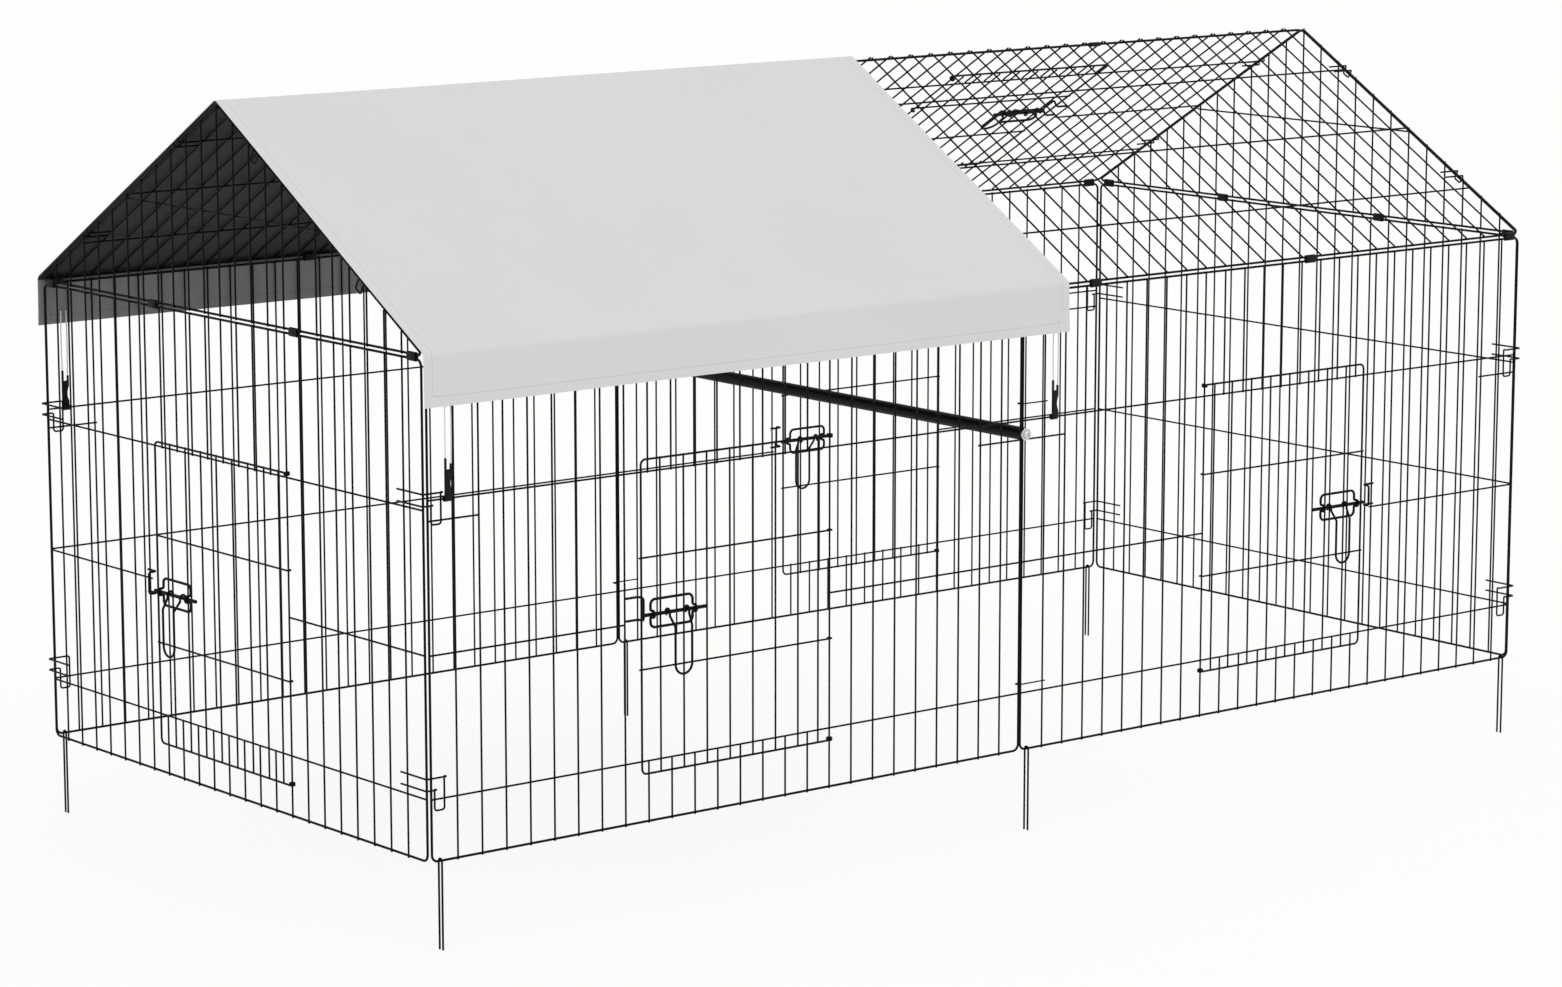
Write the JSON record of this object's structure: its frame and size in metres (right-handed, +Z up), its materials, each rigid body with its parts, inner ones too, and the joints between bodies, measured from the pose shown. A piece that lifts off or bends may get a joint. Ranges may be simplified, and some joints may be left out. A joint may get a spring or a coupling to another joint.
{
  "type": "chicken run",
  "caption": "Long outdoor poultry run of black welded wire panels with a gable roof, latched wire doors, a cross perch, U stakes and a pale cloth cover over half the roof.",
  "frame": {"origin": "middle of the run's bounding box in plan, at the level of the stake tips", "axes": "+X along the run towards the uncovered end, +Y to the back wall, +Z up to the ridge"},
  "size_m": [2.2272, 1.0786, 1.1517],
  "materials": {
    "wire": "satin black powder coat",
    "plastic": "matt black moulded plastic",
    "perch": "matt black",
    "zinc": "bright zinc plate",
    "cloth": "pale grey coated woven cloth",
    "elastic": "white elastic cord"
  },
  "bodies": {
    "run": {"front_left_frame": "wire", "front_left_wires": "wire", "front_right_frame": "wire", "front_right_wires": "wire", "back_left_frame": "wire", "back_left_wires": "wire", "back_right_frame": "wire", "back_right_wires": "wire", "left_end_frame": "wire", "left_end_wires": "wire", "right_end_frame": "wire", "right_end_wires": "wire", "left_gable_frame": "wire", "left_gable_wires": "wire", "right_gable_frame": "wire", "right_gable_wires": "wire", "roof_front_left_frame": "wire", "roof_front_left_wires": "wire", "roof_front_right_frame": "wire", "roof_front_right_wires": "wire", "roof_back_left_frame": "wire", "roof_back_left_wires": "wire", "roof_back_right_frame": "wire", "roof_back_right_wires": "wire", "door_keepers": "wire", "corner_hooks": "wire", "mid_hooks": "wire", "roof_hooks": "wire", "rail_clips": "plastic", "ground_stakes": "wire", "perch_bar": "perch", "perch_bolts": "zinc", "perch_washers": "zinc", "roof_cover": "cloth", "cover_elastics": "elastic", "cover_hooks": "plastic"},
    "front_left_door": {"front_left_door": "wire", "front_left_guide": "wire"},
    "front_left_bolt": {"front_left_bolt": "wire"},
    "front_left_handle": {"front_left_handle": "wire"},
    "front_right_door": {"front_right_door": "wire", "front_right_guide": "wire"},
    "front_right_bolt": {"front_right_bolt": "wire"},
    "front_right_handle": {"front_right_handle": "wire"},
    "back_right_door": {"back_right_door": "wire", "back_right_guide": "wire"},
    "back_right_bolt": {"back_right_bolt": "wire"},
    "back_right_handle": {"back_right_handle": "wire"},
    "left_end_door": {"left_end_door": "wire", "left_end_guide": "wire"},
    "left_end_bolt": {"left_end_bolt": "wire"},
    "left_end_handle": {"left_end_handle": "wire"},
    "roof_door": {"roof_door": "wire", "roof_guide": "wire"},
    "roof_bolt": {"roof_bolt": "wire"},
    "roof_handle": {"roof_handle": "wire"}
  },
  "joints": [
    {"name": "front_left_door_hinge", "type": "hinge", "parent": "run", "child": "front_left_door", "pos_m": [-0.36841, -0.5136, 0.429], "axis": [0, 0, 1], "range_deg": [0, 150]},
    {"name": "front_left_bolt_slide", "type": "slide", "parent": "front_left_door", "child": "front_left_bolt", "axis": [-1, 0, 0], "range_m": [-0.009, 0.021]},
    {"name": "front_left_handle_swing", "type": "hinge", "parent": "front_left_bolt", "child": "front_left_handle", "pos_m": [-0.65689, -0.5226, 0.43358], "axis": [-1, 0, 0], "range_deg": [0, 100]},
    {"name": "front_right_door_hinge", "type": "hinge", "parent": "run", "child": "front_right_door", "pos_m": [0.38981, -0.5136, 0.429], "axis": [0, 0, -1], "range_deg": [0, 150]},
    {"name": "front_right_bolt_slide", "type": "slide", "parent": "front_right_door", "child": "front_right_bolt", "axis": [1, 0, 0], "range_m": [-0.009, 0.021]},
    {"name": "front_right_handle_swing", "type": "hinge", "parent": "front_right_bolt", "child": "front_right_handle", "pos_m": [0.67829, -0.5226, 0.43358], "axis": [-1, 0, 0], "range_deg": [0, 100]},
    {"name": "back_right_door_hinge", "type": "hinge", "parent": "run", "child": "back_right_door", "pos_m": [0.72517, 0.5136, 0.429], "axis": [0, 0, -1], "range_deg": [0, 150]},
    {"name": "back_right_bolt_slide", "type": "slide", "parent": "back_right_door", "child": "back_right_bolt", "axis": [-1, 0, 0], "range_m": [-0.009, 0.021]},
    {"name": "back_right_handle_swing", "type": "hinge", "parent": "back_right_bolt", "child": "back_right_handle", "pos_m": [0.43669, 0.5226, 0.43358], "axis": [1, 0, 0], "range_deg": [0, 100]},
    {"name": "left_end_door_hinge", "type": "hinge", "parent": "run", "child": "left_end_door", "pos_m": [-1.0879, -0.1684, 0.404], "axis": [0, 0, 1], "range_deg": [0, 150]},
    {"name": "left_end_bolt_slide", "type": "slide", "parent": "left_end_door", "child": "left_end_bolt", "axis": [0, 1, 0], "range_m": [-0.009, 0.021]},
    {"name": "left_end_handle_swing", "type": "hinge", "parent": "left_end_bolt", "child": "left_end_handle", "pos_m": [-1.0969, 0.1217, 0.40858], "axis": [0, 1, 0], "range_deg": [0, 100]},
    {"name": "roof_door_hinge", "type": "hinge", "parent": "run", "child": "roof_door", "pos_m": [0.38981, 0.25359, 0.99743], "axis": [0, -0.8586, 0.5126], "range_deg": [0, 110]},
    {"name": "roof_bolt_slide", "type": "slide", "parent": "roof_door", "child": "roof_bolt", "axis": [1, 0, 0], "range_m": [-0.009, 0.021]},
    {"name": "roof_handle_swing", "type": "hinge", "parent": "roof_bolt", "child": "roof_handle", "pos_m": [0.67829, 0.25494, 1.00711], "axis": [1, 0, 0], "range_deg": [0, 100]}
  ]
}
